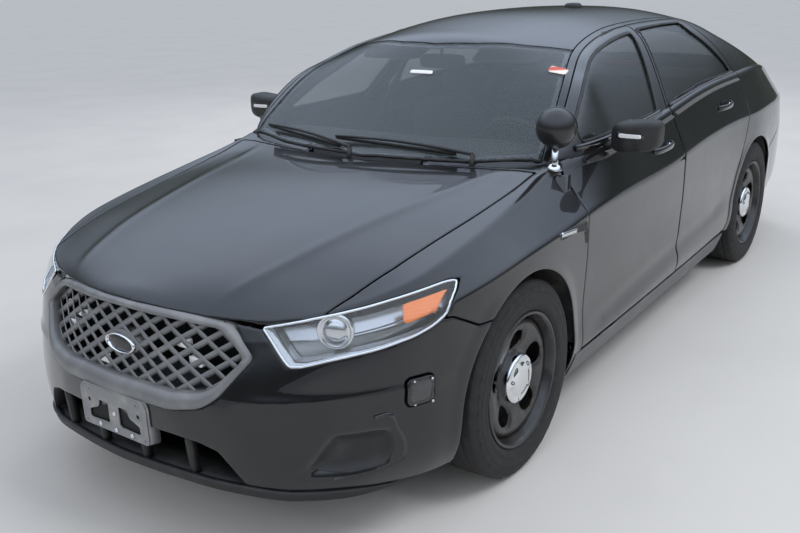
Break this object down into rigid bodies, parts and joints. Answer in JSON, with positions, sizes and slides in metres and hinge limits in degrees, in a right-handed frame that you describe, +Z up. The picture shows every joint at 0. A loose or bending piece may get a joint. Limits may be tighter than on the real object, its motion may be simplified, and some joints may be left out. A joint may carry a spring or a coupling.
{
  "type": "patrol car",
  "caption": "Full-size black four-door patrol saloon with steel wheels, pillar spotlamp, opening doors, hood and trunk lid, and steered front wheels.",
  "frame": {"origin": "on the ground, midway along the car and across it", "axes": "+X towards the car's nose, +Y towards its left side, +Z up"},
  "size_m": [5.154, 2.182, 1.5599],
  "materials": {
    "black_paint": "gloss",
    "window_glass": "clear",
    "lamp_lens": "clear",
    "corner_lens": "gloss",
    "red_lens": "gloss",
    "black_plastic": "matte",
    "liner_plastic": "textured",
    "spotlamp_black": "satin",
    "grille_grey": "satin",
    "bracket_grey": "matte",
    "sill_grey": "satin",
    "underbody_paint": "matte",
    "exhaust_steel": "satin",
    "engine_metal": "rough",
    "radiator_metal": "matte",
    "dash_plastic": "matte",
    "seat_cloth": "woven",
    "knuckle_iron": "rough",
    "tyre_rubber": "matte",
    "wheel_steel": "satin"
  },
  "bodies": {
    "car_body": {"antenna": "black_plastic", "corner_lamps": "corner_lens", "cowl_panel": "black_plastic", "dashboard": "dash_plastic", "engine_block": "engine_metal", "exhaust": "exhaust_steel", "floor_pan": "underbody_paint", "front_bumper": "black_paint", "front_fender_left": "black_paint", "front_fender_right": "black_paint", "front_seats": "seat_cloth", "front_subframe": "underbody_paint", "fuel_tank": "underbody_paint", "grille": "grille_grey", "headlamp_left": "lamp_lens", "headlamp_right": "lamp_lens", "plate_bracket": "bracket_grey", "radiator": "radiator_metal", "rear_bumper": "black_paint", "rear_seat": "seat_cloth", "rear_suspension": "underbody_paint", "rear_window": "window_glass", "roof_panel": "black_paint", "side_frame_left": "black_paint", "side_frame_right": "black_paint", "sill_mouldings": "sill_grey", "spotlamp": "spotlamp_black", "steering_wheel": "dash_plastic", "tail_lamp_left": "red_lens", "tail_lamp_right": "red_lens", "wheelhouse_liners": "liner_plastic", "windshield": "window_glass", "wipers": "black_plastic"},
    "hood": {"hood": "black_paint"},
    "trunk_lid": {"trunk_lid": "black_paint"},
    "door_front_left": {"door_front_left": "black_paint", "glass_front_left": "window_glass", "handle_front_left": "black_paint", "mirror_left": "black_plastic"},
    "wheel_front_left": {"tyre_front_left": "tyre_rubber", "rim_front_left": "wheel_steel"},
    "door_front_right": {"door_front_right": "black_paint", "glass_front_right": "window_glass", "handle_front_right": "black_paint", "mirror_right": "black_plastic"},
    "wheel_front_right": {"tyre_front_right": "tyre_rubber", "rim_front_right": "wheel_steel"},
    "door_rear_left": {"door_rear_left": "black_paint", "glass_rear_left": "window_glass", "handle_rear_left": "black_paint"},
    "wheel_rear_left": {"tyre_rear_left": "tyre_rubber", "rim_rear_left": "wheel_steel"},
    "door_rear_right": {"door_rear_right": "black_paint", "glass_rear_right": "window_glass", "handle_rear_right": "black_paint"},
    "wheel_rear_right": {"tyre_rear_right": "tyre_rubber", "rim_rear_right": "wheel_steel"},
    "knuckle_left": {"knuckle_front_left": "knuckle_iron"},
    "knuckle_right": {"knuckle_front_right": "knuckle_iron"}
  },
  "joints": [
    {"name": "hood_hinge", "type": "hinge", "parent": "car_body", "child": "hood", "pos_m": [1.146, 0, 1.018], "axis": [0, -1, 0], "range_deg": [0, 50]},
    {"name": "trunk_hinge", "type": "hinge", "parent": "car_body", "child": "trunk_lid", "pos_m": [-1.892, 0, 1.136], "axis": [0, 1, 0], "range_deg": [0, 58]},
    {"name": "door_front_left_hinge", "type": "hinge", "parent": "car_body", "child": "door_front_left", "pos_m": [1.04, 0.947, 0.8], "axis": [0, 0, -1], "range_deg": [0, 65]},
    {"name": "door_rear_left_hinge", "type": "hinge", "parent": "car_body", "child": "door_rear_left", "pos_m": [-0.069, 0.947, 0.8], "axis": [0, 0, -1], "range_deg": [0, 65]},
    {"name": "steer_left", "type": "hinge", "parent": "car_body", "child": "knuckle_left", "pos_m": [1.552, 0.77, 0.363], "axis": [0, 0, 1], "range_deg": [-34, 34]},
    {"name": "wheel_front_left_spin", "type": "hinge", "parent": "knuckle_left", "child": "wheel_front_left", "pos_m": [1.552, 0.83, 0.363], "axis": [0, 1, 0], "continuous": true},
    {"name": "wheel_rear_left_spin", "type": "hinge", "parent": "car_body", "child": "wheel_rear_left", "pos_m": [-1.315, 0.83, 0.363], "axis": [0, 1, 0], "continuous": true},
    {"name": "door_front_right_hinge", "type": "hinge", "parent": "car_body", "child": "door_front_right", "pos_m": [1.04, -0.947, 0.8], "axis": [0, 0, 1], "range_deg": [0, 65]},
    {"name": "door_rear_right_hinge", "type": "hinge", "parent": "car_body", "child": "door_rear_right", "pos_m": [-0.069, -0.947, 0.8], "axis": [0, 0, 1], "range_deg": [0, 65]},
    {"name": "steer_right", "type": "hinge", "parent": "car_body", "child": "knuckle_right", "pos_m": [1.552, -0.77, 0.363], "axis": [0, 0, 1], "range_deg": [-34, 34]},
    {"name": "wheel_front_right_spin", "type": "hinge", "parent": "knuckle_right", "child": "wheel_front_right", "pos_m": [1.552, -0.83, 0.363], "axis": [0, 1, 0], "continuous": true},
    {"name": "wheel_rear_right_spin", "type": "hinge", "parent": "car_body", "child": "wheel_rear_right", "pos_m": [-1.315, -0.83, 0.363], "axis": [0, 1, 0], "continuous": true}
  ],
  "couplings": [
    {"joint": "steer_right", "follows": "steer_left", "ratio": 1}
  ]
}
